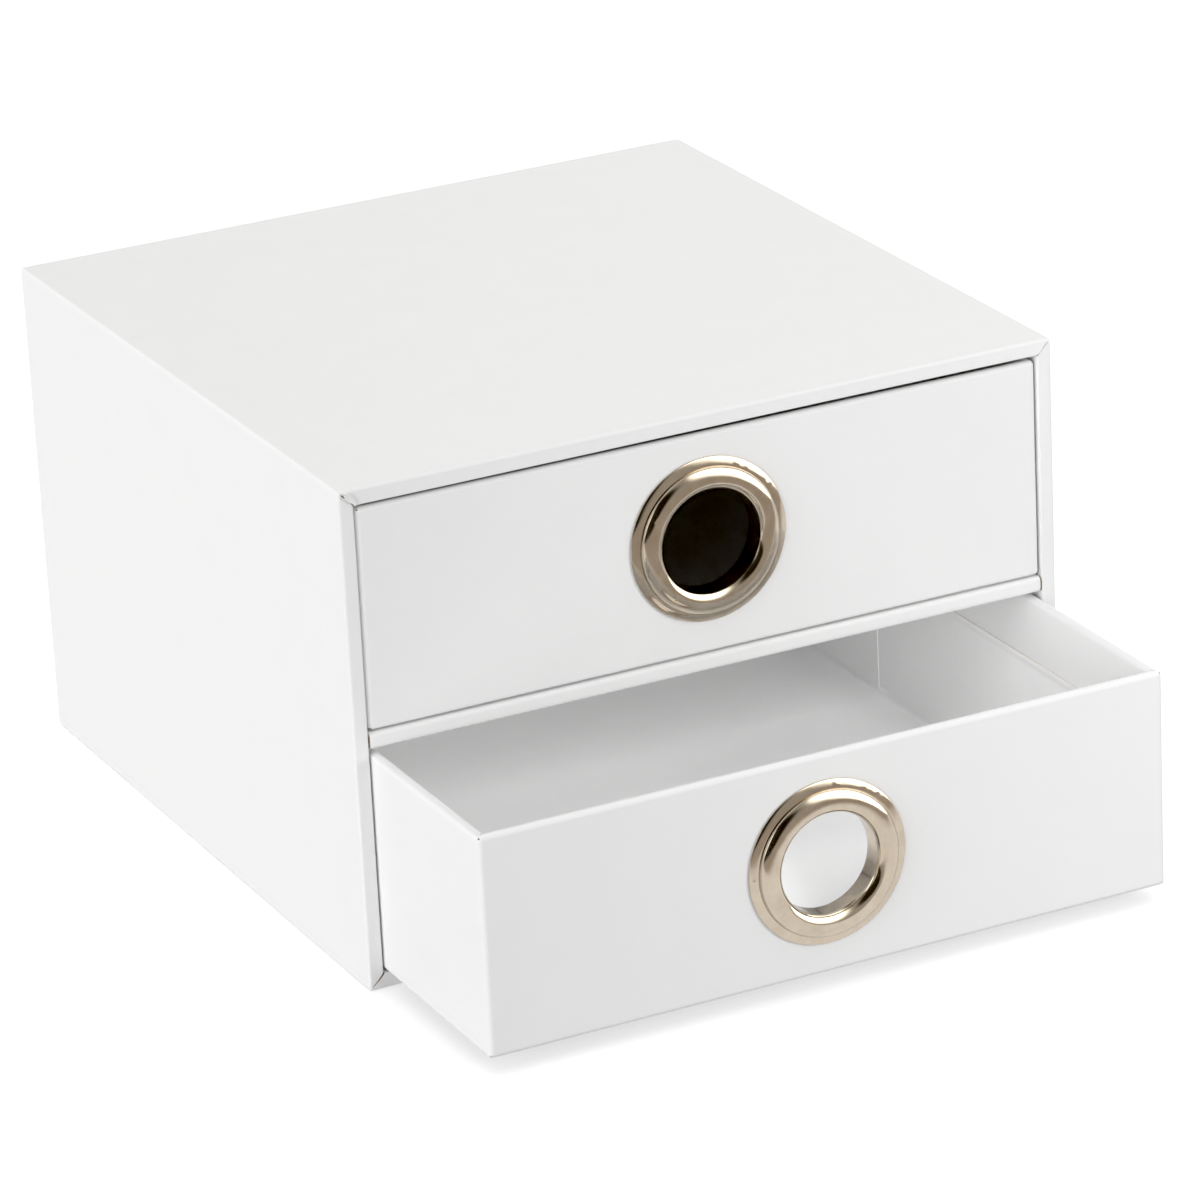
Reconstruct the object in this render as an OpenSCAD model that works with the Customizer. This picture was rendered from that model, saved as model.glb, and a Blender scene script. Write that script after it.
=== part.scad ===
// Two-drawer tabletop chest for disc cases, made of greyboard covered with white paper.
// Each drawer has a metal finger ring set through its front. Millimetres, front towards -Y,
// origin at the middle of the underside.

/* [Case] */
// Width of the case, side to side
case_w = 160; // [120:1:240]
// Depth of the case, front to back
case_d = 165; // [120:1:240]
// Height of the case
case_h = 106.8; // [106.8:0.2:160]
// Thickness of the case's boards
case_board = 3; // [2:0.1:3.8]
// Thickness of the inset back board
back_board = 2.5; // [1.5:0.1:4]
// Thickness of the shelf board between the drawers
shelf_board = 3.2; // [2:0.1:3.8]

/* [Drawers] */
// Height of a drawer
drawer_h = 47.1; // [40:0.1:47.4]
// Thickness of a drawer's boards
drawer_board = 2; // [2:0.1:3]
// Gap between a drawer and the case on each side
side_gap = 0.4; // [0.3:0.1:2]
// Gap between the underside of a drawer and what it slides on
slide_gap = 0.2; // [0.1:0.05:0.5]
// Gap behind a closed drawer
back_gap = 1; // [0.5:0.1:5]
// How far a closed drawer's front lies behind the case's front edges
front_recess = 0.3; // [0:0.1:2]
// How far the upper drawer is pulled out
upper_open = 0; // [0:1:120]
// How far the lower drawer is pulled out
lower_open = 48.3; // [0:0.1:120]

/* [Paper] */
// Thickness of the covering paper
paper = 0.15; // [0.1:0.05:0.3]
// Radius of the edges of the case's boards, under the paper
case_edge_r = 0.5; // [0.3:0.1:0.9]
// Radius of the softer edges of the drawers' and the shelf's boards, under the paper
soft_edge_r = 0.9; // [0.3:0.1:0.9]
// Depth of the paper turned into the case's mouth and over its back
case_turn_in = 15; // [8:1:25]
// Depth of the paper turned over a drawer's rim
drawer_turn_in = 13.6; // [6:0.2:20]
// Width of the paper turned under a base
under_turn_in = 12; // [6:1:20]
// Margin of a cover sheet from the edges of the face that it covers
sheet_margin = 1.5; // [1:0.5:4]
// Width of the mitre slits in the paper at the corners of the case's mouth
mitre_slit = 0.12; // [0.05:0.01:0.3]

/* [Finger rings] */
// Outside diameter of a ring's flange
ring_d = 35; // [33:0.5:38]
// Diameter of the finger hole
ring_hole_d = 21.6; // [18:0.2:22]
// How far the upper ring sits above the middle of its front
upper_ring_up = 1; // [-2:0.1:2]
// How far the lower ring sits above the middle of its front
lower_ring_up = 0.6; // [-2:0.1:2]
// How far the lower ring sits to the left of the middle of its front
lower_ring_left = 1.3; // [-2:0.1:2]
// Width of the flange outside the bead
flange_w = 2.3; // [1.5:0.1:3]
// Width of the flange's flat foot, which lies on the paper
flange_foot = 0.8; // [0.4:0.1:1.2]
// How far the flange slopes up from its foot to the bead
flange_rise = 0.4; // [0:0.1:0.8]
// Thickness of the ring's metal
ring_sheet = 0.5; // [0.4:0.1:0.8]
// Gap between a ring's barrel and the hole in the board
barrel_gap = 0.1; // [0.05:0.05:0.3]
// Thickness of the washer behind the front
washer_sheet = 0.4; // [0.3:0.1:0.6]
// Radius of the barrel's end where it is curled over the washer
curl_r = 1.1; // [0.9:0.1:1.4]

/* [Hidden] */
$fn = 64;

board_colour = "#a89c8a";
paper_colour = "#f4f4f4";
lining_colour = "#e6e6e6";
metal_colour = "#c9bda6";

case_fold_r = case_edge_r + paper;
soft_fold_r = soft_edge_r + paper;
far = 2 * max(case_w, case_d, case_h);

// Case: the boards under the paper, and the mouth
base_z = 2 * paper;
core_w = case_w - 2 * paper;
core_front = -case_d / 2 + paper;
core_back = case_d / 2 - 2 * paper;
core_top = case_h - paper;
mouth_w = core_w - 2 * case_board;
mouth_z = base_z + case_board;
mouth_top = core_top - case_board;
back_front = core_back - back_board;

// Clear compartments inside the lining
room_w = mouth_w - 2 * paper;
room_z = mouth_z + paper;
room_top = mouth_top - paper;
room_back = back_front - paper;
shelf_t = shelf_board + 2 * paper;
room_h = (room_top - room_z - shelf_t) / 2;
shelf_z = room_z + room_h;
upper_room_z = shelf_z + shelf_t;
turn_in_end = -case_d / 2 + case_turn_in;
shelf_end_gap = 0.1;
mitre_end_gap = 0.25;

// Drawer, in its own frame: front face at y = 0, underside at z = 0
drawer_w = room_w - 2 * side_gap;
drawer_l = room_back - back_gap + case_d / 2 - front_recess;
wall_t = drawer_board + 2 * paper;
floor_top = base_z + drawer_board + paper;
tray_w = drawer_w - 2 * (paper + drawer_board);
tray_front = paper + drawer_board;
tray_back = drawer_l - paper - drawer_board;
rim_turn_z = drawer_h - drawer_turn_in;
upper_ring = [0, drawer_h / 2 + upper_ring_up];
lower_ring = [-lower_ring_left, drawer_h / 2 + lower_ring_up];
ring_bore_r = ring_hole_d / 2 + ring_sheet + barrel_gap;
bead_r = (ring_d / 2 - flange_w - ring_hole_d / 2) / 2;
bead_mid_r = ring_hole_d / 2 + bead_r;
washer_r = bead_mid_r + bead_r;

// A box from one corner to the opposite one
module span(low, high) {
  translate(low) cube([for (i = [0:2]) high[i] - low[i]]);
}

// A rectangle with round corners, from low to high
module soft_rect(low, high, r) {
  translate([low[0] + r, low[1]]) square([high[0] - low[0] - 2 * r, high[1] - low[1]]);
  translate([low[0], low[1] + r]) square([high[0] - low[0], high[1] - low[1] - 2 * r]);
  for (x = [low[0] + r, high[0] - r], y = [low[1] + r, high[1] - r]) translate([x, y]) circle(r = r);
}

// A box whose twelve edges are all rounded, as a covered board box has
module soft_block(low, high, r) {
  size = [for (i = [0:2]) high[i] - low[i]];
  intersection() {
    translate([0, 0, low[2]]) linear_extrude(size[2])
      soft_rect([low[0], low[1]], [high[0], high[1]], r);
    translate([0, high[1], 0]) rotate([90, 0, 0]) linear_extrude(size[1])
      soft_rect([low[0], low[2]], [high[0], high[2]], r);
    translate([low[0], 0, 0]) rotate([90, 0, 90]) linear_extrude(size[0])
      soft_rect([low[1], low[2]], [high[1], high[2]], r);
  }
}

// The profile of a hollow of width w that opens at y = 0, with lips of radius r, and is deep long
module mouth_profile(w, deep, r) {
  translate([-w / 2, 0]) square([w, deep]);
  difference() {
    translate([-w / 2 - r, -1]) square([w + 2 * r, r + 1]);
    for (side = [-1, 1]) translate([side * (w / 2 + r), r]) circle(r = r);
  }
}

// A hollow w by l that starts at z = 0 and runs up, with all the lips of its mouth rounded
module hollow(w, l, deep, r) {
  intersection() {
    rotate([90, 0, 0]) linear_extrude(far, center = true) mouth_profile(w, deep, r);
    rotate([90, 0, 90]) linear_extrude(far, center = true) mouth_profile(l, deep, r);
  }
}

// The case's mouth, open to the front
module case_mouth(w, z_low, z_high, y_front, y_back, r) {
  translate([0, y_front, (z_low + z_high) / 2]) rotate([-90, 0, 0])
    hollow(w, z_high - z_low, y_back - y_front, r);
}

// The tray of a drawer, open to the top
module drawer_tray(inset, z_floor, z_rim, r) {
  translate([0, drawer_l / 2, z_rim]) rotate([180, 0, 0])
    hollow(drawer_w - 2 * inset, drawer_l - 2 * inset, z_rim - z_floor, r);
}

// ---- Case ----

// The case's boards as one block, and with the mouth cut through it
module case_block() {
  soft_block([-core_w / 2, core_front, base_z], [core_w / 2, core_back, core_top],
             case_edge_r);
}

module case_core() {
  difference() {
    case_block();
    case_mouth(mouth_w, mouth_z, mouth_top, core_front, core_back + 1, case_edge_r);
  }
}

module case_side_board(side) {
  difference() {
    intersection() {
      case_block();
      span([side < 0 ? -far : mouth_w / 2, -far, mouth_z],
           [side < 0 ? -mouth_w / 2 : far, far, mouth_top]);
    }
    case_mouth(mouth_w, mouth_z, mouth_top, core_front, core_back + 1, case_edge_r);
  }
}

module case_top_board() {
  color(board_colour) intersection() {
    case_core();
    span([-far, -far, mouth_top], [far, far, far]);
  }
}

module case_bottom_board() {
  color(board_colour) intersection() {
    case_core();
    span([-far, -far, -far], [far, far, mouth_z]);
  }
}

module case_left_board() { color(board_colour) case_side_board(-1); }
module case_right_board() { color(board_colour) case_side_board(1); }

module case_back_board() {
  color(board_colour)
    span([-mouth_w / 2, back_front, mouth_z], [mouth_w / 2, core_back, mouth_top]);
}

module case_shelf_board() {
  color(board_colour)
    translate([room_w / 2, 0, 0]) rotate([0, -90, 0]) linear_extrude(room_w)
      shelf_profile(shelf_z + paper, shelf_z + paper + shelf_board, core_front, soft_edge_r);
}

// The shelf's section, with its front edge rounded
module shelf_profile(z_low, z_high, y_front, r) {
  translate([z_low, y_front + r]) square([z_high - z_low, room_back - y_front - r]);
  translate([z_low + r, y_front]) square([z_high - z_low - 2 * r, r + 1]);
  for (z = [z_low + r, z_high - r]) translate([z, y_front + r]) circle(r = r);
}

// The one sheet round the case: over the sides and the top, turned under the base, into the
// mouth and over the back, and slit at the mouth's corners
module case_wrap() {
  color(paper_colour) difference() {
    soft_block([-case_w / 2, -case_d / 2, paper], [case_w / 2, core_back + paper, case_h],
               case_fold_r);
    case_core();
    case_mouth(room_w, room_z, room_top, -case_d / 2, core_back, case_fold_r);
    span([-mouth_w / 2, turn_in_end, mouth_z], [mouth_w / 2, core_back, mouth_top]);
    span([-case_w / 2 + case_turn_in, 0, case_turn_in],
         [case_w / 2 - case_turn_in, far, case_h - case_turn_in]);
    span([-case_w / 2 + under_turn_in, -case_d / 2 + under_turn_in, -1],
         [case_w / 2 - under_turn_in, case_d / 2 - under_turn_in, base_z]);
    for (x = [-1, 1], z = [-1, 1]) mouth_mitre(x, z);
  }
}

// One slit through the flat of the paper, on the diagonal from a corner of the mouth
module mouth_mitre(x_side, z_side) {
  slit_l = ((case_w - room_w) / 2 - 2 * case_fold_r) * sqrt(2) - mitre_end_gap;
  translate([x_side * (room_w / 2 + case_fold_r), -case_d / 2 - 1,
             z_side < 0 ? room_z - case_fold_r : room_top + case_fold_r])
    rotate([0, -45 * x_side * z_side, 0])
      translate([x_side < 0 ? -slit_l : 0, 0, -mitre_slit / 2]) cube([slit_l, 1 + paper, mitre_slit]);
}

module case_base_sheet() {
  low = [-case_w / 2 + sheet_margin, -case_d / 2 + sheet_margin, 0];
  color(paper_colour) {
    span(low, [-low[0], -low[1], paper]);
    span([-case_w / 2 + under_turn_in, -case_d / 2 + under_turn_in, 0],
         [case_w / 2 - under_turn_in, case_d / 2 - under_turn_in, base_z]);
  }
}

module case_back_sheet() {
  outer = [case_w / 2 - sheet_margin, sheet_margin + paper];
  color(paper_colour) {
    span([-outer[0], core_back + paper, outer[1]], [outer[0], case_d / 2, case_h - sheet_margin]);
    span([-case_w / 2 + case_turn_in, core_back, case_turn_in],
         [case_w / 2 - case_turn_in, case_d / 2, case_h - case_turn_in]);
  }
}

module shelf_cover() {
  color(paper_colour) translate([room_w / 2 - shelf_end_gap, 0, 0]) rotate([0, -90, 0])
    linear_extrude(room_w - 2 * shelf_end_gap) difference() {
      shelf_profile(shelf_z, shelf_z + shelf_t, -case_d / 2, soft_fold_r);
      shelf_profile(shelf_z + paper, shelf_z + paper + shelf_board, core_front, soft_edge_r);
    }
}

module upper_compartment_lining() {
  color(lining_colour) difference() {
    span([-mouth_w / 2, turn_in_end, upper_room_z], [mouth_w / 2, back_front, mouth_top]);
    span([-room_w / 2, -far, -far], [room_w / 2, room_back, room_top]);
  }
}

module lower_compartment_lining() {
  color(lining_colour) difference() {
    span([-mouth_w / 2, turn_in_end, mouth_z], [mouth_w / 2, back_front, upper_room_z]);
    span([-room_w / 2, -far, room_z], [room_w / 2, room_back, far]);
  }
}

// ---- Drawer, in its own frame ----

module at_upper() {
  translate([0, -case_d / 2 + front_recess - upper_open, upper_room_z + slide_gap]) children();
}

module at_lower() {
  translate([0, -case_d / 2 + front_recess - lower_open, room_z + slide_gap]) children();
}

// The hole for a ring whose centre is at [x, z] on the front
module ring_bore(centre) {
  translate([centre[0], -1, centre[1]]) rotate([-90, 0, 0])
    cylinder(r = ring_bore_r, h = wall_t + 2);
}

module drawer_core() {
  difference() {
    soft_block([-drawer_w / 2 + paper, paper, base_z],
               [drawer_w / 2 - paper, drawer_l - paper, drawer_h - paper], soft_edge_r);
    drawer_tray(paper + drawer_board, base_z - 1, drawer_h - paper, soft_edge_r);
  }
}

module drawer_front_board(centre) {
  difference() {
    intersection() {
      drawer_core();
      span([-far, -far, -far], [far, tray_front, far]);
    }
    ring_bore(centre);
  }
}

module drawer_back_board() {
  intersection() {
    drawer_core();
    span([-far, tray_back, -far], [far, far, far]);
  }
}

module drawer_side_board(side) {
  color(board_colour) intersection() {
    drawer_core();
    span([side < 0 ? -far : 0, tray_front, -far], [side < 0 ? 0 : far, tray_back, far]);
  }
}

module drawer_floor_board() {
  span([-tray_w / 2, tray_front, base_z], [tray_w / 2, tray_back, base_z + drawer_board]);
}

// The band round a drawer: over the four walls, turned over the rim and under the base
module drawer_wrap(centre) {
  difference() {
    soft_block([-drawer_w / 2, 0, paper], [drawer_w / 2, drawer_l, drawer_h], soft_fold_r);
    drawer_core();
    drawer_tray(wall_t, floor_top, drawer_h, soft_fold_r);
    span([-tray_w / 2, tray_front, base_z], [tray_w / 2, tray_back, rim_turn_z]);
    span([-drawer_w / 2 + under_turn_in, under_turn_in, -1],
         [drawer_w / 2 - under_turn_in, drawer_l - under_turn_in, base_z + 1]);
    ring_bore(centre);
  }
}

module drawer_lining(centre) {
  difference() {
    span([-tray_w / 2, tray_front, base_z + drawer_board], [tray_w / 2, tray_back, rim_turn_z]);
    span([-tray_w / 2 + paper, tray_front + paper, floor_top],
         [tray_w / 2 - paper, tray_back - paper, far]);
    ring_bore(centre);
  }
}

module drawer_base_sheet() {
  span([-drawer_w / 2 + sheet_margin, sheet_margin, 0],
       [drawer_w / 2 - sheet_margin, drawer_l - sheet_margin, paper]);
  span([-drawer_w / 2 + under_turn_in, under_turn_in, 0],
       [drawer_w / 2 - under_turn_in, drawer_l - under_turn_in, base_z]);
}

// ---- Finger ring, turned about +Z with the drawer's front face at z = 0 ----

// Half of a round metal bead in section, above or below the line through its centre
module half_bead(mid_r, z, r, sheet, up) {
  translate([mid_r, z]) difference() {
    circle(r = r);
    circle(r = r - sheet);
    translate([-2 * r, up ? -4 * r : 0]) square(4 * r);
  }
}

// The section: a flange with a flat foot and a slope, the bead, the barrel and the curled end
module ring_profile() {
  hole_r = ring_hole_d / 2;
  back_z = -wall_t - washer_sheet;
  edge_mid_r = (ring_d - ring_sheet) / 2;
  foot_r = ring_d / 2 - flange_foot;
  slope_r = washer_r - ring_sheet;
  polygon([[edge_mid_r, 0], [edge_mid_r, ring_sheet], [foot_r, ring_sheet],
           [slope_r, ring_sheet + flange_rise], [slope_r, flange_rise], [foot_r, 0]]);
  translate([edge_mid_r, ring_sheet / 2]) circle(d = ring_sheet);
  half_bead(bead_mid_r, ring_sheet, bead_r, ring_sheet, true);
  translate([hole_r, back_z]) square([ring_sheet, ring_sheet - back_z]);
  half_bead(hole_r + curl_r, back_z, curl_r, ring_sheet, false);
}

module at_ring(centre) {
  translate([centre[0], 0, centre[1]]) rotate([90, 0, 0]) children();
}

module finger_ring(centre) {
  at_ring(centre) rotate_extrude() ring_profile();
}

module ring_washer(centre) {
  at_ring(centre) translate([0, 0, -wall_t - washer_sheet]) rotate_extrude() {
    translate([ring_bore_r, 0]) square([washer_r - ring_bore_r, washer_sheet]);
    translate([washer_r, washer_sheet / 2]) circle(d = washer_sheet);
  }
}

module upper_drawer_front_board() { color(board_colour) at_upper() drawer_front_board(upper_ring); }
module upper_drawer_back_board() { color(board_colour) at_upper() drawer_back_board(); }
module upper_drawer_left_board() { color(board_colour) at_upper() drawer_side_board(-1); }
module upper_drawer_right_board() { color(board_colour) at_upper() drawer_side_board(1); }
module upper_drawer_floor_board() { color(board_colour) at_upper() drawer_floor_board(); }
module upper_drawer_wrap() { color(paper_colour) at_upper() drawer_wrap(upper_ring); }
module upper_drawer_lining() { color(lining_colour) at_upper() drawer_lining(upper_ring); }
module upper_drawer_base_sheet() { color(paper_colour) at_upper() drawer_base_sheet(); }
module upper_finger_ring() { color(metal_colour) at_upper() finger_ring(upper_ring); }
module upper_ring_washer() { color(metal_colour) at_upper() ring_washer(upper_ring); }
module lower_drawer_front_board() { color(board_colour) at_lower() drawer_front_board(lower_ring); }
module lower_drawer_back_board() { color(board_colour) at_lower() drawer_back_board(); }
module lower_drawer_left_board() { color(board_colour) at_lower() drawer_side_board(-1); }
module lower_drawer_right_board() { color(board_colour) at_lower() drawer_side_board(1); }
module lower_drawer_floor_board() { color(board_colour) at_lower() drawer_floor_board(); }
module lower_drawer_wrap() { color(paper_colour) at_lower() drawer_wrap(lower_ring); }
module lower_drawer_lining() { color(lining_colour) at_lower() drawer_lining(lower_ring); }
module lower_drawer_base_sheet() { color(paper_colour) at_lower() drawer_base_sheet(); }
module lower_finger_ring() { color(metal_colour) at_lower() finger_ring(lower_ring); }
module lower_ring_washer() { color(metal_colour) at_lower() ring_washer(lower_ring); }

case_top_board();
case_bottom_board();
case_left_board();
case_right_board();
case_back_board();
case_shelf_board();
case_wrap();
case_base_sheet();
case_back_sheet();
shelf_cover();
upper_compartment_lining();
lower_compartment_lining();
upper_drawer_front_board();
upper_drawer_back_board();
upper_drawer_left_board();
upper_drawer_right_board();
upper_drawer_floor_board();
upper_drawer_wrap();
upper_drawer_lining();
upper_drawer_base_sheet();
upper_finger_ring();
upper_ring_washer();
lower_drawer_front_board();
lower_drawer_back_board();
lower_drawer_left_board();
lower_drawer_right_board();
lower_drawer_floor_board();
lower_drawer_wrap();
lower_drawer_lining();
lower_drawer_base_sheet();
lower_finger_ring();
lower_ring_washer();
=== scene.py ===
"""Looks of the two-drawer disc chest: paper-wrapped boards and pressed metal finger rings.

Sizes are in millimetres, in the CAD's frame, and turned into metres when a mesh is made.
Each covered box (the case and both drawers) is made in its own tray frame, with the mouth
towards +Z and the middle of the floor at the origin, and then turned and moved to its place.
The studio and the lights are in metres.
"""
import math

import bmesh
import bpy
import numpy as np
from mathutils import Matrix, Vector, noise


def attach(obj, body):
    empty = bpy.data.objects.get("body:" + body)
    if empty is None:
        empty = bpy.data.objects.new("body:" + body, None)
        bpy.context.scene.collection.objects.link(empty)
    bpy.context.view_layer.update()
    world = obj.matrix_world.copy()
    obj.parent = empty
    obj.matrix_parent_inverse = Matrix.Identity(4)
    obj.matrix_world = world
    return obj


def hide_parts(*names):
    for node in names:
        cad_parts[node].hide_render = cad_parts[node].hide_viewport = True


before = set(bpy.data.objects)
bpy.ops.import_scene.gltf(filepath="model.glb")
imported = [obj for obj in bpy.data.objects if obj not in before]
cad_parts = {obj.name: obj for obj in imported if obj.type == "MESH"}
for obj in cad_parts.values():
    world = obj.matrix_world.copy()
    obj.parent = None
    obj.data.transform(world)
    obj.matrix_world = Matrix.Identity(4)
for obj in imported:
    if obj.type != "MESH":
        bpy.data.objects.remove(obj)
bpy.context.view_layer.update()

MM = 0.001

# ---- Sizes that part.scad uses too --------------------------------------------------------

CASE_W, CASE_D, CASE_H = 160.0, 165.0, 106.8
PAPER = 0.15
CASE_FOLD_R, SOFT_FOLD_R = 0.65, 1.05
CASE_WALL = 3.3
CASE_TURN_IN = 15.0
UNDER_TURN_IN = 12.0
ROOM_W = CASE_W - 2 * CASE_WALL
ROOM_Z = 3.45
ROOM_BACK = 79.55
SHELF_Z, SHELF_TOP = 51.725, 55.225
DRAWER_W, DRAWER_L, DRAWER_H = 152.6, 160.75, 47.1
DRAWER_WALL = 2.3
LINING_TOP = 33.5
FLOOR_TOP = 2.45
# The closed drawer's front lies a little inside the mouth, and the drawer clears what it
# slides on; the lower one stands out
SET_BACK, CLEARANCE, LOWER_OUT = 0.3, 0.2, 48.3
FRONT_Y = -CASE_D / 2 + SET_BACK
UPPER_AT = (0.0, FRONT_Y, SHELF_TOP + CLEARANCE)
LOWER_AT = (0.0, FRONT_Y - LOWER_OUT, ROOM_Z + CLEARANCE)
# The rings' middles: across from the drawer's middle, and up from its underside
UPPER_RING, LOWER_RING = (0.0, DRAWER_H / 2 + 1.0), (-1.3, DRAWER_H / 2 + 0.6)
RING_R, HOLE_R = 17.5, 10.8
SHEET = 0.5
CURL_R = 1.1
WASHER = 0.4
BORE_R = HOLE_R + SHEET + 0.1

# ---- Sizes of the paper's and the rings' finer forms --------------------------------------

# The fold of the paper at the mouth's inner edge
LIP_R = 0.4
# How much further the drawers' paper goes under the lining, whose top edge lies over it
LAP = 1.0
# Faces nearer to a ring's middle than HOLE_CLEAR are left out, and the edge that is left is
# drawn up to HOLE_EDGE_R, behind the ring's flange; the grid has HOLE_STEP there
HOLE_CLEAR, HOLE_STEP = 13.2, 1.75
HOLE_EDGE_R = BORE_R + 0.2
# Grid lines nearer to each other than this become one
LINE_GAP = 0.4

# How far the mouth's top flap bulges downwards, from which x, and over which length, depth
# and thickness
LIP_SAG, SAG_X, SAG_LENGTH, SAG_DEPTH, SAG_INTO = 0.3, -74, 110, 7, 1.5

# The tongue of paper at the mouth's upper left corner
TAB_AT, TAB_LENGTH, TAB_WIDTH = Vector((-78.95, 52.35)), 3.2, 1.25
TAB_ASIDE = 0.45
TAB_LOW, TAB_CURL, TAB_CROWN = 0.20, 0.45, 0.08

# The shelf's cover stops short of the case's sides, with rounded ends
SHELF_GAP = 0.12
SHELF_END_R = 0.7

# The lining: its corners' radius, how far its floor's outer band goes in, how much its top
# edge stands off the wall, and the seam on the right wall, measured from the front
CORNER_R = 0.9
FLOOR_BAND = 16.0
TOP_STEP = 0.16
SEAM_Y, SEAM_STEP, SEAM_FADE_AT, SEAM_FADE = 115.0, 0.14, 20, 30

# The bead as it looks: a flattened arch, wider than it is high, with superelliptical sides
CREST_R, CREASE_R = 12.9, 15.35
CREST_UP, ROLL_DOWN = 2.42, 1.87
SQUARE = 2 / 2.4
SKIRT_RISE, SKIRT_POWER = 0.45, 1.8
# Points of the ring's section: along the flange, each side of the bead, the barrel and the curl
SKIRT_STEPS, BEAD_STEPS, BARREL_STEPS, CURL_STEPS = 7, 34, 10, 13
RING_SEGMENTS = 256
RING_WOBBLE = 0.02

# Dents of the rings: (angle in degrees, radius, size, depth)
UPPER_DENTS = [(150, 14.6, 0.5, 0.08), (66, 16.6, 0.8, 0.11), (58, 16.7, 0.5, 0.08),
               (34, 16.7, 0.7, 0.10), (-132, 13.6, 0.6, 0.06)]
LOWER_DENTS = [(181, 16.6, 0.45, 0.12), (196, 16.5, 0.35, 0.08), (82, 16.7, 0.8, 0.11),
               (60, 16.7, 0.6, 0.09), (48, 16.8, 0.8, 0.10)]

# Rows of the covered boxes' grids
INSIDE_ROWS, FOLD_ROWS, RIM_ROWS, UNDER_ROWS = 7, 7, 7, 5
FLAP_ROWS = INSIDE_ROWS + FOLD_ROWS + RIM_ROWS


# ---- Materials ----------------------------------------------------------------------------

def add(tree, kind, inputs=None, **settings):
    """A node with its settings. inputs holds numbers, colours or the sockets to link."""
    node = tree.nodes.new(kind)
    for key, value in settings.items():
        setattr(node, key, value)
    for key, value in (inputs or {}).items():
        if isinstance(value, bpy.types.NodeSocket):
            tree.links.new(value, node.inputs[key])
        else:
            node.inputs[key].default_value = value
    return node


def shader_material(name, inputs):
    material = bpy.data.materials.new(name)
    material.use_nodes = True
    shader = material.node_tree.nodes["Principled BSDF"]
    for key, value in inputs.items():
        shader.inputs[key].default_value = value
    return material, material.node_tree, shader


def fine_noise(tree, scale, detail, **more):
    """Noise over the object's own metres."""
    where = add(tree, "ShaderNodeTexCoord").outputs["Object"]
    inputs = {"Vector": where, "Scale": scale, "Detail": detail, **more}
    return add(tree, "ShaderNodeTexNoise", inputs).outputs["Fac"]


def tint(tree, shader, factor, low, high, start):
    """The base colour goes from low to high while the factor goes from start to 1 - start."""
    ramp = add(tree, "ShaderNodeValToRGB", {"Fac": factor})
    first, second = ramp.color_ramp.elements
    first.position, first.color = start, (*low, 1)
    second.position, second.color = 1 - start, (*high, 1)
    tree.links.new(ramp.outputs["Color"], shader.inputs["Base Color"])


def uneven_sheen(tree, shader, factor, low, high):
    rub = add(tree, "ShaderNodeMapRange", {"Value": factor, "To Min": low, "To Max": high})
    tree.links.new(rub.outputs["Result"], shader.inputs["Roughness"])


def bumps(tree, shader, height, strength, distance):
    bump = add(tree, "ShaderNodeBump",
               {"Height": height, "Strength": strength, "Distance": distance})
    tree.links.new(bump.outputs["Normal"], shader.inputs["Normal"])


def paper_material(name, tone, variation, grain, roughness, specular):
    """Uncoated to satin paper: fibre grain, faint mottling of the tone, uneven sheen."""
    material, tree, shader = shader_material(name, {"Specular IOR Level": specular})
    mottle = fine_noise(tree, 90.0, 4.0, Roughness=0.6)
    tint(tree, shader, mottle, [c - variation for c in tone], tone, 0.3)
    uneven_sheen(tree, shader, mottle, roughness - 0.06, roughness + 0.06)
    fibre, coarse = fine_noise(tree, 2600.0, 3.0), fine_noise(tree, 420.0, 2.0)
    height = add(tree, "ShaderNodeMath", {0: fibre, 1: coarse}, operation="ADD")
    bumps(tree, shader, height.outputs[0], grain, 0.00003)
    return material


def fibre_material(name, dark, light, scale, relief):
    """Bare recycled fibre with dark and light flecks: greyboard, and the paper's cut edges."""
    material, tree, shader = shader_material(name, {"Roughness": 0.9, "Specular IOR Level": 0.2})
    flecks = fine_noise(tree, scale, 6.0, Roughness=0.7)
    tint(tree, shader, flecks, dark, light, 0.35)
    bumps(tree, shader, flecks, relief, 0.0001)
    return material


def metal_material():
    """Polished nickel-plated steel, slightly warm, with rubbed and dulled places."""
    material, tree, shader = shader_material("ring_nickel", {"Metallic": 1.0})
    cloud = fine_noise(tree, 260.0, 5.0, Roughness=0.65)
    tint(tree, shader, cloud, (0.49, 0.425, 0.345), (0.57, 0.505, 0.42), 0.3)
    uneven_sheen(tree, shader, cloud, 0.08, 0.18)
    bumps(tree, shader, fine_noise(tree, 1500.0, 2.0), 0.12, 0.00002)
    return material


white = paper_material("white_paper", tone=(0.92, 0.92, 0.92), variation=0.012, grain=0.25,
                       roughness=0.55, specular=0.15)
lining = paper_material("lining_paper", tone=(0.90, 0.90, 0.90), variation=0.02, grain=0.35,
                        roughness=0.75, specular=0.1)
board = fibre_material("greyboard", dark=(0.13, 0.105, 0.075), light=(0.34, 0.29, 0.22),
                       scale=900.0, relief=0.5)
cut_edge = fibre_material("paper_cut_edge", dark=(0.36, 0.27, 0.19), light=(0.70, 0.61, 0.51),
                          scale=2400.0, relief=0.3)
metal = metal_material()

for node_name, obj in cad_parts.items():
    if node_name.endswith("board"):
        chosen = board
    elif node_name.endswith("lining"):
        chosen = lining
    elif node_name.endswith(("ring", "washer")):
        chosen = metal
    else:
        chosen = white
    for slot in obj.material_slots:
        slot.material = chosen


# ---- Meshes -------------------------------------------------------------------------------

def smooth(t):
    t = min(max(t, 0.0), 1.0)
    return t * t * (3 - 2 * t)


def new_object(name, data):
    obj = bpy.data.objects.new(name, data)
    bpy.context.scene.collection.objects.link(obj)
    return obj


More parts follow.
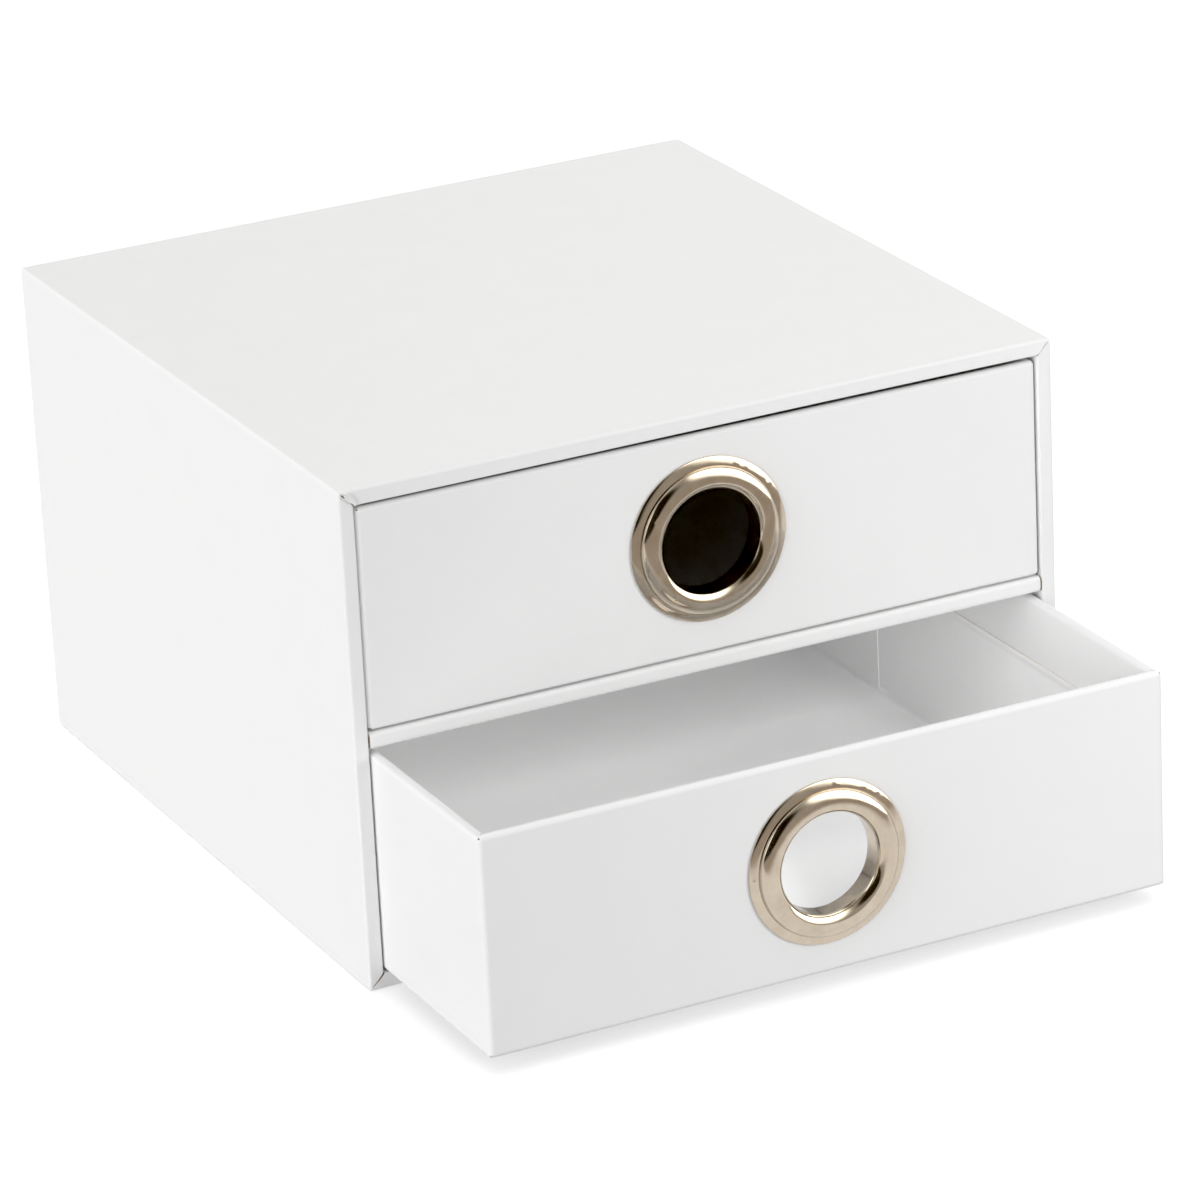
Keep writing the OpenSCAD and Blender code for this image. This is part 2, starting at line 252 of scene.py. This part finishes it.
class Surface:
    """Grids of points that are welded into one mesh."""

    def __init__(self):
        self.verts, self.faces = [], []

    def grid(self, points, keep=None, flip=False):
        """Adds a grid of points, apart from the faces whose middle keep doesn't want."""
        rows, cols = points.shape[:2]
        first = len(self.verts)
        self.verts += [tuple(p) for p in points.reshape(-1, 3)]
        for i in range(rows - 1):
            for j in range(cols - 1):
                quad = [(i, j), (i, j + 1), (i + 1, j + 1), (i + 1, j)]
                if keep is not None and not keep(np.mean([points[q] for q in quad], axis=0)):
                    continue
                face = [first + a * cols + b for a, b in quad]
                self.faces.append(face[::-1] if flip else face)

    def build(self, name, materials, place=None, thickness=0.0, shift=None, sharp=40,
              weld=1e-3, bore=None):
        """The welded mesh as an object. shift(point, normal) moves points of the visible side
        before the sheet gets its thickness, which goes behind it; the sheet's cut edges take
        the second material. bore is (x, z, up to which y) of a round hole in the front."""
        mesh = bpy.data.meshes.new(name)
        mesh.from_pydata(self.verts, [], self.faces)
        bm = bmesh.new()
        bm.from_mesh(mesh)
        bmesh.ops.remove_doubles(bm, verts=bm.verts, dist=weld)
        bmesh.ops.dissolve_degenerate(bm, edges=bm.edges, dist=weld)
        if bore is not None:
            draw_to_bore(bm, *bore)
        bm.normal_update()
        if shift is not None:
            moves = [shift(v.co, v.normal) for v in bm.verts]
            for v, move in zip(bm.verts, moves):
                v.co += move
        if place is not None:
            bm.transform(place)
        bm.transform(Matrix.Scale(MM, 4))
        bm.to_mesh(mesh)
        bm.free()
        for material in materials:
            mesh.materials.append(material)
        obj = new_object(name, mesh)
        if thickness:
            solid = obj.modifiers.new("Paper", "SOLIDIFY")
            solid.thickness = thickness * MM
            solid.offset = -1
            solid.use_even_offset = False
            solid.use_quality_normals = True
            solid.material_offset_rim = len(materials) - 1
            depsgraph = bpy.context.evaluated_depsgraph_get()
            solid_mesh = bpy.data.meshes.new_from_object(obj.evaluated_get(depsgraph))
            obj.modifiers.clear()
            obj.data = solid_mesh
        obj.data.shade_smooth()
        obj.data.set_sharp_from_angle(angle=math.radians(sharp))
        return obj


def draw_to_bore(bm, x, z, y_end):
    """Moves the ragged edge that is left round a ring's middle onto the round bore."""
    for v in bm.verts:
        from_middle = Vector((v.co.x - x, v.co.z - z))
        if v.is_boundary and v.co.y < y_end and from_middle.length < HOLE_CLEAR + HOLE_STEP:
            from_middle *= HOLE_EDGE_R / from_middle.length
            v.co.x, v.co.z = x + from_middle.x, z + from_middle.y


def edge_spread(length, inner=8, fine=(0.0, 0.12, 0.3, 0.6, 1.0, 1.6, 2.5, 4.0, 7.0)):
    """Distances along a strip, close together near both ends."""
    fine = np.array(fine)
    middle = np.linspace(fine[-1], length - fine[-1], inner + 1)[1:-1]
    return np.concatenate([fine, middle, length - fine[::-1]])


def with_lines(base, lines):
    """The grid lines of base with further ones, and without those that come close to them."""
    kept = [b for b in base if all(abs(b - line) > LINE_GAP for line in lines)]
    return np.sort(np.concatenate([kept, lines]))


def four_sides(surface, core, path, counts, slit=None, keep=None, front_lines=(), side_lines=()):
    """Four mitred sides round a core rectangle, given by its half sizes. path is a list of
    (distance outside the core, height); outside the core the corners are round. slit(side, row)
    is how much is cut off the row's start and end. Side 0 looks to -Y, side 1 to +X, and counts
    is how many columns the middles of the two have."""
    arc = np.radians(np.linspace(0, 45, 5))
    for side in range(4):
        along, across = core if side % 2 == 0 else core[::-1]
        lines = side_lines if side % 2 else front_lines
        lines = [-line for line in lines] if side > 1 else lines
        base = with_lines(edge_spread(2 * along, counts[side % 2]) - along, lines)
        rows = []
        for i, (o, z) in enumerate(path):
            half = along + min(o, 0.0)
            cut = slit(side, i) if slit else (0.0, 0.0)
            x = np.clip(base * (half / along), cut[0] - half, half - cut[1])
            rho, y = max(o, 0.0), -(across + o)
            start = [(x[0] - rho * math.sin(a), y + rho * (1 - math.cos(a))) for a in arc[:0:-1]]
            end = [(x[-1] + rho * math.sin(a), y + rho * (1 - math.cos(a))) for a in arc[1:]]
            row = np.array(start + [(v, y) for v in x] + end)
            rows.append(np.column_stack([row, np.full(len(row), z)]))
        points = np.array(rows)
        c, s = round(math.cos(math.radians(90 * side))), round(math.sin(math.radians(90 * side)))
        turned = points.copy()
        turned[..., 0] = c * points[..., 0] - s * points[..., 1]
        turned[..., 1] = s * points[..., 0] + c * points[..., 1]
        test = None if keep is None else (lambda p, side=side: keep(side, p))
        surface.grid(turned, keep=test, flip=True)


def covered_tray(size, r, lip_r, wall, turn_in, under, counts, slit, keep=None, front_lines=(),
                 down_lines=()):
    """The outside of the paper on a board tray with its mouth up: inside the mouth, over the rim,
    down the outside and under the base. counts is how many columns the middles of the front and
    of the sides have, and how many rows. down_lines are heights that the rows include."""
    half_x, half_y, high = size[0] / 2, size[1] / 2, size[2]
    fold = np.radians(np.linspace(0, 90, FOLD_ROWS))
    inside = r - wall
    path = [(inside, z) for z in np.linspace(high - turn_in, high - lip_r, INSIDE_ROWS + 1)[:-1]]
    path += [(inside + lip_r - lip_r * math.cos(a), high - lip_r + lip_r * math.sin(a))
             for a in fold]
    path += [(o, high) for o in np.linspace(inside + lip_r, 0, RIM_ROWS + 2)[1:-1]]
    path += [(r * math.sin(a), high - r + r * math.cos(a)) for a in fold]
    down = high - r - edge_spread(high - 2 * r, counts[2])[1:-1]
    path += [(r, z) for z in with_lines(down, down_lines)[::-1]]
    path += [(r * math.cos(a), r - r * math.sin(a)) for a in fold]
    path += [(o, 0.0) for o in np.linspace(0, r - under, UNDER_ROWS + 1)[1:]]
    surface = Surface()
    four_sides(surface, (half_x - r, half_y - r), path, counts,
               lambda side, i: slit(side, i, len(path)), keep, front_lines)
    return surface


def mitre_slits(widths, seed):
    """Slits at the four corners of a mouth. widths holds, for each corner, the width of each
    flap's share deep inside, at the lip, in the middle of the rim and at its outer end."""
    stops = (0, INSIDE_ROWS + 3, FLAP_ROWS - 4, FLAP_ROWS)
    uneven = 0.3

    def slit(side, i, rows):
        if i >= rows - UNDER_ROWS:
            return (widths[side][0],) * 2
        if i >= FLAP_ROWS:
            return (0.0, 0.0)
        cuts = []
        for corner, way in ((side, 1.0), ((side + 1) % 4, -1.0)):
            width = float(np.interp(i, stops, widths[corner]))
            ragged = uneven * noise.noise(Vector((i * 0.7, corner * 5.3 + seed, way)))
            cuts.append(width * (1.0 + ragged))
        return tuple(cuts)

    return slit


def paper_relief(scale, depth, seed, lifts=(), warp=None):
    """Small hollows of paper on board, always inwards, and flap corners that lift a little.
    A lift is (point, radius, height, way): it raises what lies on that way from the point.
    warp(point) is a further move of its own."""
    fine_scale, fine_share = 2.3, 0.25

    def shift(p, normal):
        wide = noise.noise(Vector((p.x / scale + seed, p.y / scale, p.z / scale)))
        fine = noise.noise(Vector((p.x / fine_scale - seed, p.y / fine_scale,
                                   p.z / fine_scale)))
        amount = -depth * (0.5 + 0.5 * wide) - fine_share * depth * (0.5 + 0.5 * fine)
        for at, radius, height, way in lifts:
            out = p - Vector(at)
            d = out.length / radius
            if d < 1 and out.dot(Vector(way)) > 0 and normal.z > 0.5:
                amount += height * (1 - d) ** 2
        move = normal * amount
        return move if warp is None else move + warp(p)
    return shift


def dress(obj, body, slot, *nodes):
    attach(obj, body)
    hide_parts(*nodes)
    return obj


# ---- The case's wrap ----------------------------------------------------------------------

# Tray frame to the case: the mouth looks to -Y, and the tray's -Y side is the case's underside
TO_CASE = Matrix.Translation((0, CASE_D / 2 - PAPER, CASE_H / 2 + PAPER / 2)) @ Matrix((
    (1, 0, 0, 0), (0, 0, -1, 0), (0, 1, 0, 0), (0, 0, 0, 1)))
RIM = CASE_D - PAPER


def case_keep(side, p):
    """Leaves out the middle of the underside, which the base sheet covers."""
    inner_x, inner_z = CASE_W / 2 - UNDER_TURN_IN, RIM - UNDER_TURN_IN
    return not (side == 0 and abs(p[0]) < inner_x and UNDER_TURN_IN < p[2] < inner_z
                and p[1] < -CASE_H / 2 + 1)


def lip_sag(p):
    """The top flap bulges towards the upper drawer at the left end of the mouth."""
    depth = RIM - p.z
    inner = CASE_H / 2 - CASE_WALL
    if depth > SAG_DEPTH + 1 or p.y < inner - 1 or abs(p.x) > ROOM_W / 2 - 0.05:
        return Vector()
    along = 1 - smooth((p.x - SAG_X) / SAG_LENGTH)
    across = 1 - smooth((p.y - inner) / SAG_INTO)
    return Vector((0, -LIP_SAG * along * across * (1 - smooth((depth - 1) / SAG_DEPTH)), 0))


def corner_tab():
    """The tongue of paper left over at the mouth's upper left corner, curled up at its end."""
    along, across = Vector((1, -1)).normalized(), Vector((1, 1)).normalized()
    rows = []
    for u in np.linspace(0, 1, 18) ** 1.4:
        rounded = math.sqrt(1 - max(0.0, 1 - u / 0.2) ** 2)
        w = TAB_WIDTH * rounded * (1 - 0.5 * smooth((u - 0.5) / 0.5))
        row = []
        for v in np.linspace(-0.5, 0.5, 7):
            at = TAB_AT + along * (TAB_LENGTH * u) + across * (TAB_ASIDE + (w + 0.02) * v)
            rise = TAB_LOW + TAB_CURL * (1 - u) ** 3 + TAB_CROWN * (1 - 4 * v * v)
            row.append((at.x, at.y, RIM + rise))
        rows.append(row)
    return np.array(rows)


# The mouth's slits at the lower left, lower right, upper right and upper left
CASE_SLITS = ((0.05, 0.30, 0.12, 0.10), (0.05, 0.12, 0.08, 0.08), (0.05, 0.16, 0.07, 0.12),
              (0.05, 0.24, 0.08, 0.26))
# Flaps that stand up a little, at the lower left and the upper right
CASE_LIFTS = [((-77.9, -51.2, RIM), 2.4, 0.30, (1, -1, 0)),
              ((77.4, 50.8, RIM), 1.6, 0.20, (-1, 1, 0))]
CASE_COUNTS = (24, 16, 24)

case_surface = covered_tray(
    (CASE_W, CASE_H - PAPER, RIM), CASE_FOLD_R, LIP_R, CASE_WALL, turn_in=CASE_TURN_IN,
    under=CASE_TURN_IN, counts=CASE_COUNTS, slit=mitre_slits(CASE_SLITS, seed=2.0),
    keep=case_keep, down_lines=(UNDER_TURN_IN, RIM - UNDER_TURN_IN))
case_surface.grid(corner_tab())
case_wrap = case_surface.build(
    "case_paper_wrap", [white, cut_edge], TO_CASE, PAPER,
    paper_relief(scale=24.0, depth=0.05, seed=3.1, lifts=CASE_LIFTS, warp=lip_sag))
dress(case_wrap, "case", "white_paper", "case_wrap")


# ---- The shelf's cover --------------------------------------------------------------------

def shelf_cover():
    """The paper round the shelf's front edge; its ends stop short and are a little rounded."""
    r, y_back = SOFT_FOLD_R, ROOM_BACK
    y_front = -CASE_D / 2
    fold = np.radians(np.linspace(0, 90, FOLD_ROWS))
    flat = r + edge_spread(y_back - y_front - r, 10)
    path = [(y_front + d, SHELF_TOP) for d in flat[::-1]]
    path += [(y_front + r - r * math.sin(a), SHELF_TOP - r + r * math.cos(a)) for a in fold[1:]]
    path += [(y_front, z) for z in np.linspace(SHELF_TOP - r, SHELF_Z + r, 5)[1:-1]]
    path += [(y_front + r - r * math.cos(a), SHELF_Z + r - r * math.sin(a)) for a in fold]
    path += [(y_front + d, SHELF_Z) for d in flat[1:]]
    half = ROOM_W / 2 - SHELF_GAP
    xs = edge_spread(2 * half, 20) - half
    surface = Surface()
    surface.grid(np.array([[(x, y, z) for x in xs] for y, z in path]), flip=True)
    middle = (SHELF_TOP + SHELF_Z) / 2
    relief = paper_relief(scale=26.0, depth=0.04, seed=7.9)

    def shift(p, normal):
        base = relief(p, normal)
        left = max(half - abs(p.x), 0.0)
        if left < SHELF_END_R and p.y < y_front + 2 * r:
            back = SHELF_END_R - math.sqrt(SHELF_END_R ** 2 - (SHELF_END_R - left) ** 2)
            base += Vector((0, 0.5 * back, 0.25 * back * (1 if p.z < middle else -1)))
        return base

    return surface.build("shelf_paper_cover", [white, cut_edge], None, PAPER, shift)


dress(shelf_cover(), "case", "white_paper", "shelf_cover")


# ---- The drawers' wraps and linings -------------------------------------------------------

FRONT_END = -DRAWER_L / 2 + DRAWER_WALL + 0.5
DRAWER_COUNTS = (22, 24, 10)
DRAWER_SLITS = ((0.05, 0.06, 0.06, 0.04),) * 4


def drawer_place(at):
    return Matrix.Translation((at[0], at[1] + DRAWER_L / 2, at[2] + PAPER))


def hole_lines(middle):
    steps = np.arange(-8, 9) * HOLE_STEP
    return tuple(middle[0] + steps), tuple(middle[1] - PAPER + steps)


def front_keep(middle):
    """Leaves out the faces of the front wall, outside and inside, that are over the hole."""
    def keep(side, p):
        near = math.hypot(p[0] - middle[0], p[2] - middle[1] + PAPER) < HOLE_CLEAR
        return not (side == 0 and near and p[1] < FRONT_END)
    return keep


def drawer_wrap(name, at, body, middle, seed, node):
    across, up = hole_lines(middle)
    high = DRAWER_H - PAPER
    surface = covered_tray(
        (DRAWER_W, DRAWER_L, high), SOFT_FOLD_R, SOFT_FOLD_R, DRAWER_WALL,
        turn_in=DRAWER_H - LINING_TOP + LAP, under=UNDER_TURN_IN, counts=DRAWER_COUNTS,
        slit=mitre_slits(DRAWER_SLITS, seed), keep=front_keep(middle), front_lines=across,
        down_lines=up)
    obj = surface.build(name, [white, cut_edge], drawer_place(at), PAPER,
                        paper_relief(scale=20.0, depth=0.05, seed=seed),
                        bore=(middle[0], middle[1] - PAPER, FRONT_END))
    return dress(obj, body, "white_paper", node)


def drawer_lining(name, at, body, middle, seed, node):
    """The paper in a drawer, seen from inside: floor, soft corners, walls, and a top edge that
    lies over the white paper turned in from the rim."""
    half_x, half_y = DRAWER_W / 2 - DRAWER_WALL, DRAWER_L / 2 - DRAWER_WALL
    floor_z, top = FLOOR_TOP - PAPER, LINING_TOP - PAPER
    across, up = hole_lines(middle)
    core = (half_x - CORNER_R, half_y - CORNER_R)
    bend = np.radians(np.linspace(0, 90, FOLD_ROWS))
    path = [(o, floor_z) for o in (-FLOOR_BAND, -8.0, -4.0, -1.8, -0.6)]
    path += [(CORNER_R * math.sin(a), floor_z + CORNER_R - CORNER_R * math.cos(a)) for a in bend]
    walls = [floor_z + CORNER_R + d for d in (0.5, 1.5, 3.0, 5.5)]
    walls += [z for z in up if walls[-1] + 0.5 < z < top - LAP - 0.9]
    path += [(CORNER_R, z) for z in walls]
    path += [(CORNER_R, top - LAP - 0.5), (CORNER_R - TOP_STEP, top - LAP - 0.2),
             (CORNER_R - TOP_STEP, top - LAP / 2), (CORNER_R - TOP_STEP, top)]
    seam = SEAM_Y - DRAWER_L / 2
    seam_lines = (seam - 0.12, seam + 0.02)
    surface = Surface()
    four_sides(surface, core, path, DRAWER_COUNTS, keep=front_keep(middle), front_lines=across,
               side_lines=seam_lines)
    xs = with_lines(edge_spread(2 * core[0], DRAWER_COUNTS[0]) - core[0], across)
    xs = xs * (1 - FLOOR_BAND / core[0])
    ys = with_lines(edge_spread(2 * core[1], DRAWER_COUNTS[1]) - core[1], seam_lines)
    ys = ys * (1 - FLOOR_BAND / core[1])
    surface.grid(np.array([[(x, y, floor_z) for x in xs] for y in ys]))
    relief = paper_relief(scale=17.0, depth=0.05, seed=seed)

    def shift(p, normal):
        base = relief(p, normal)
        if p.x > half_x - 0.5 and p.y > seam and p.z > floor_z + 1.2:
            base.x -= SEAM_STEP * (1 - smooth((p.y - seam - SEAM_FADE_AT) / SEAM_FADE))
        return base

    obj = surface.build(name, [lining, cut_edge], drawer_place(at), PAPER, shift,
                        bore=(middle[0], middle[1] - PAPER, FRONT_END))
    return dress(obj, body, "lining_paper", node)


drawer_wrap("upper_paper_wrap", UPPER_AT, "upper_drawer", UPPER_RING, 11.7, "upper_drawer_wrap")
drawer_wrap("lower_paper_wrap", LOWER_AT, "lower_drawer", LOWER_RING, 5.2, "lower_drawer_wrap")
drawer_lining("upper_paper_lining", UPPER_AT, "upper_drawer", UPPER_RING, 21.3,
              "upper_drawer_lining")
lower_lining = drawer_lining("lower_paper_lining", LOWER_AT, "lower_drawer", LOWER_RING, 33.9,
                             "lower_drawer_lining")


# ---- Rings --------------------------------------------------------------------------------

def ring_outline():
    """The section of a pressed ring as one sheet: sloping flange, crease, bead, barrel, curl."""
    half = SHEET / 2
    skirt = RING_R - half
    base = half + SKIRT_RISE
    mid = [(skirt - t * (skirt - CREASE_R - 0.1),
            half + SKIRT_RISE * (1 - (1 - t) ** SKIRT_POWER))
           for t in np.linspace(0, 1, SKIRT_STEPS)]
    high = CREST_UP - base
    for a in np.radians(np.linspace(4, 90, BEAD_STEPS)):
        mid.append((CREST_R + (CREASE_R - CREST_R) * math.cos(a) ** SQUARE,
                    base + high * math.sin(a) ** SQUARE))
    inner = CREST_R - HOLE_R - half
    for a in np.radians(np.linspace(86, 0, BEAD_STEPS)):
        mid.append((CREST_R - inner * math.cos(a) ** SQUARE,
                    CREST_UP - ROLL_DOWN * (1 - math.sin(a) ** SQUARE)))
    back = -DRAWER_WALL - WASHER
    for z in np.linspace(CREST_UP - ROLL_DOWN, back, BARREL_STEPS)[1:-1]:
        mid.append((HOLE_R + half, z))
    for a in np.radians(np.linspace(180, 360, CURL_STEPS)):
        mid.append((HOLE_R + CURL_R + (CURL_R - half) * math.cos(a),
                    back + (CURL_R - half) * math.sin(a)))
    mid = np.array(mid)
    tangent = np.gradient(mid, axis=0)
    tangent /= np.linalg.norm(tangent, axis=1)[:, None]
    normal = np.column_stack([tangent[:, 1], -tangent[:, 0]])

    def cap(point, out):
        """The sheet's round edge, from its out side through the end to the other side."""
        angle = math.atan2(out[1], out[0])
        return [(point[0] + half * math.cos(angle - a), point[1] + half * math.sin(angle - a))
                for a in np.radians([30, 60, 90, 120, 150])]

    top = mid - half * normal
    low = mid + half * normal
    return (list(map(tuple, top)) + cap(mid[-1], -normal[-1])
            + list(map(tuple, low[::-1])) + cap(mid[0], normal[0]))


def revolve(name, outline, place, dents):
    """A closed section (radius, height) turned round +Z, with small dents pressed in."""
    angles = np.linspace(0, 2 * np.pi, RING_SEGMENTS, endpoint=False)
    n = len(outline)
    surface = Surface()
    surface.verts = [(r * math.cos(a), r * math.sin(a), z) for a in angles for r, z in outline]
    surface.faces = [(i * n + j, ((i + 1) % RING_SEGMENTS) * n + j,
                      ((i + 1) % RING_SEGMENTS) * n + (j + 1) % n, i * n + (j + 1) % n)
                     for i in range(RING_SEGMENTS) for j in range(n)]

    def shift(p, normal):
        amount = 0.0
        for angle, radius, size, depth in dents:
            a = math.radians(angle)
            at = Vector((radius * math.cos(a), radius * math.sin(a)))
            d = (p.xy - at).length / size
            if d < 1 and p.z > 0:
                amount -= depth * (1 - d * d) ** 2
        wobble = noise.noise(Vector((p.x * 0.35, p.y * 0.35, p.z * 0.5))) * RING_WOBBLE
        return normal * (amount + wobble)

    return surface.build(name, [metal], place, shift=shift, sharp=50, weld=1e-4)


def ring_place(at, middle):
    return (Matrix.Translation((at[0] + middle[0], at[1], at[2] + middle[1]))
            @ Matrix.Rotation(math.radians(90), 4, "X"))


outline = ring_outline()
upper_ring = revolve("upper_ring_pressed", outline, ring_place(UPPER_AT, UPPER_RING), UPPER_DENTS)
lower_ring = revolve("lower_ring_pressed", outline, ring_place(LOWER_AT, LOWER_RING), LOWER_DENTS)
dress(upper_ring, "upper_drawer", "ring_metal", "upper_finger_ring")
dress(lower_ring, "lower_drawer", "ring_metal", "lower_finger_ring")


# ---- Studio: the floor --------------------------------------------------------------------

def square(name, half, z, material):
    mesh = bpy.data.meshes.new(name)
    mesh.from_pydata([(-half, -half, z), (half, -half, z), (half, half, z), (-half, half, z)],
                     [], [(0, 1, 2, 3)])
    mesh.materials.append(material)
    return new_object(name, mesh)


FLOOR_HALF, FLOOR_GLOW = 6.0, 0.33
floor_material = shader_material("studio_floor", {
    "Roughness": 1.0, "Specular IOR Level": 0.0, "Base Color": (0.9, 0.9, 0.9, 1),
    "Emission Color": (1, 1, 1, 1), "Emission Strength": FLOOR_GLOW})[0]
floor = square("studio_floor", FLOOR_HALF, 0, floor_material)
floor.visible_glossy = False
floor.visible_diffuse = False


# ---- Studio: what the metal reflects, and the light round the object ----------------------

# The floor in the metal, pale near the object and browner further away
FAR_FLOOR = (0.52, 0.46, 0.40, 1)
NEAR_FLOOR = (1.15, 1.13, 1.10, 1)
# The rest in the metal, each over the one before it:
# (azimuth, elevation, full within, none beyond), colour
ROOM = (0.50, 0.47, 0.43, 1)
REFLECTED = (
    ((85, 32, 46, 66), (3.8, 3.7, 3.4, 1)),         # a large softbox at the right
    ((0, -90, 72, 87), FAR_FLOOR),                  # the far floor, below
    ((130, -25, 22, 42), (0.16, 0.13, 0.10, 1)),    # a dark place low behind on the right
    ((-57, 12, 40, 58), (0.02, 0.016, 0.011, 1)),   # a dark room in front on the left
    ((-113, 16, 25, 31), (2.8, 2.7, 2.45, 1)),      # a softbox behind on the left
)
# What lights the paper, soft and even: (azimuth, elevation, full within, none beyond), strength
SOFT_BASE = 0.358
SOFT_LIGHTS = (
    ((-67, 4, 10, 42), 2.65),     # from the left
    ((0, 90, 10, 60), 0.70),      # from above
    ((-24, 22, 12, 26), -0.32),   # less from behind the camera
    ((168, 12, 10, 45), 1.15),    # from behind
)
CAMERA_WHITE = (1.0, 1.0, 1.0, 1)


def direction(azimuth, elevation):
    """Azimuth 0 is the front, -Y, and 90 the right, +X."""
    a, e = math.radians(azimuth), math.radians(elevation)
    return (math.sin(a) * math.cos(e), -math.cos(a) * math.cos(e), math.sin(e))


def blend(tree, factor, first, second):
    """first where the factor is 0 and second where it is 1, as colours or sockets."""
    mix = add(tree, "ShaderNodeMix", {"Factor": factor, 6: first, 7: second}, data_type="RGBA")
    return mix.outputs[2]


def lobe(tree, toward, azimuth, elevation, full, none):
    """1 within full degrees of a direction, and 0 beyond none degrees."""
    dot = add(tree, "ShaderNodeVectorMath", {0: toward, 1: direction(azimuth, elevation)},
              operation="DOT_PRODUCT")
    fall = add(tree, "ShaderNodeMapRange",
               {"Value": dot.outputs["Value"], "From Min": math.cos(math.radians(none)),
                "From Max": math.cos(math.radians(full))}, interpolation_type="SMOOTHSTEP")
    return fall.outputs["Result"]


def light_up(world):
    """Metal sees the reflected room, the camera sees white, and all else gets the soft light."""
    tree = world.node_tree
    tree.nodes.clear()
    toward = add(tree, "ShaderNodeTexCoord").outputs["Generated"]
    seen = ROOM
    for where, colour in REFLECTED:
        seen = blend(tree, lobe(tree, toward, *where), seen, colour)
    soft = None
    for where, strength in SOFT_LIGHTS:
        one = add(tree, "ShaderNodeMath", {0: lobe(tree, toward, *where), 1: strength},
                  operation="MULTIPLY").outputs[0]
        soft = one if soft is None else add(
            tree, "ShaderNodeMath", {0: soft, 1: one}, operation="ADD").outputs[0]
    soft = add(tree, "ShaderNodeMath", {0: soft, 1: SOFT_BASE}, operation="ADD").outputs[0]
    ray = add(tree, "ShaderNodeLightPath").outputs
    both = blend(tree, ray["Is Glossy Ray"], soft, seen)
    shown = blend(tree, ray["Is Camera Ray"], both, CAMERA_WHITE)
    background = add(tree, "ShaderNodeBackground", {"Color": shown})
    add(tree, "ShaderNodeOutputWorld", {"Surface": background.outputs["Background"]})


world = bpy.data.worlds.new("studio")
bpy.context.scene.world = world
world.use_nodes = True
light_up(world)

# The floor as only the metal sees it, just under the other one. It turns from the far floor's
# colour to the near one's between two distances in front of the case
CARD_HALF, CARD_Z = 1, -0.0005
FAR_Y, NEAR_Y = -0.25, -0.195


def reflected_floor_material():
    material = bpy.data.materials.new("reflected_floor")
    material.use_nodes = True
    tree = material.node_tree
    tree.nodes.clear()
    where = add(tree, "ShaderNodeTexCoord").outputs["Object"]
    place = add(tree, "ShaderNodeSeparateXYZ", {0: where})
    near = add(tree, "ShaderNodeMapRange",
               {"Value": place.outputs["Y"], "From Min": FAR_Y, "From Max": NEAR_Y},
               interpolation_type="SMOOTHSTEP")
    shade = blend(tree, near.outputs["Result"], FAR_FLOOR, NEAR_FLOOR)
    glow = add(tree, "ShaderNodeEmission", {"Color": shade})
    add(tree, "ShaderNodeOutputMaterial", {"Surface": glow.outputs["Emission"]})
    return material


card = square("reflected_floor", CARD_HALF, CARD_Z, reflected_floor_material())
card.visible_camera = card.visible_diffuse = card.visible_shadow = False
card.visible_transmission = card.visible_volume_scatter = False


# ---- Studio: lamps ------------------------------------------------------------------------

def softbox(name, at, to, size, watts):
    """A square light that shines from one point towards another and shows in nothing."""
    data = bpy.data.lights.new(name, "AREA")
    data.shape = "SQUARE"
    data.size = size
    data.energy = watts
    lamp = new_object(name, data)
    turn = (to - at).to_track_quat("-Z", "Y").to_matrix().to_4x4()
    lamp.matrix_world = Matrix.Translation(at) @ turn
    lamp.visible_glossy = False
    lamp.visible_camera = False
    return lamp


# Near the right front, so that the fronts get lighter towards the right
KEY_AT, KEY_TO = Vector((0.30, -0.45, 0.16)), Vector((0.04, -0.10, 0.05))
KEY_SIZE, KEY_WATTS = 0.18, 0.8
softbox("key_softbox", KEY_AT, KEY_TO, KEY_SIZE, KEY_WATTS)

# Fills that light only the paper in the open drawer, from the front and from above:
# (azimuth, elevation, distance, watts)
FILLS = ((1.0, 24.0, 1.3, 17.0), (0.0, 55.0, 1.0, 3.6))
FILL_TO, FILL_SIZE = Vector((0.0, -0.02, 0.03)), 0.5
filled = bpy.data.collections.new("drawer_inside")
filled.objects.link(lower_lining)
for azimuth, elevation, distance, watts in FILLS:
    fill_at = FILL_TO + distance * Vector(direction(azimuth, elevation))
    fill = softbox("drawer_fill", fill_at, FILL_TO, FILL_SIZE, watts)
    fill.light_linking.receiver_collection = filled

# ---- Camera, solved from the photograph's corners and edges --------------------------------

AZIMUTH, ELEVATION, ROLL = -25.724, 21.569, -2.847
CAMERA_MM = 1338.02
TARGET = (14.975, 0.0, 36.102)
FOCAL_PX, FRAME_PX, SENSOR = 6229.9, 1200, 36.0
back = Vector(direction(AZIMUTH, ELEVATION))
level_right = Vector((math.cos(math.radians(AZIMUTH)), math.sin(math.radians(AZIMUTH)), 0))
level_up = back.cross(level_right)
roll = math.radians(ROLL)
right = math.cos(roll) * level_right + math.sin(roll) * level_up
up = -math.sin(roll) * level_right + math.cos(roll) * level_up
camera_data = bpy.data.cameras.new("camera")
camera_data.sensor_width = SENSOR
camera_data.lens = SENSOR * FOCAL_PX / FRAME_PX
camera_data.clip_start, camera_data.clip_end = 0.01, 50
camera = new_object("camera", camera_data)
camera.matrix_world = Matrix.Translation((Vector(TARGET) + back * CAMERA_MM) * MM) @ Matrix(
    (right, up, back)).transposed().to_4x4()
bpy.context.scene.camera = camera

# The photograph's dark end: a slightly warm black point
BLACK_POINT = (0.008, 0.0095, 0.011)
view = bpy.context.scene.view_settings
view.view_transform = "Standard"
view.look = "None"
view.use_curve_mapping = True
view.curve_mapping.black_level = BLACK_POINT
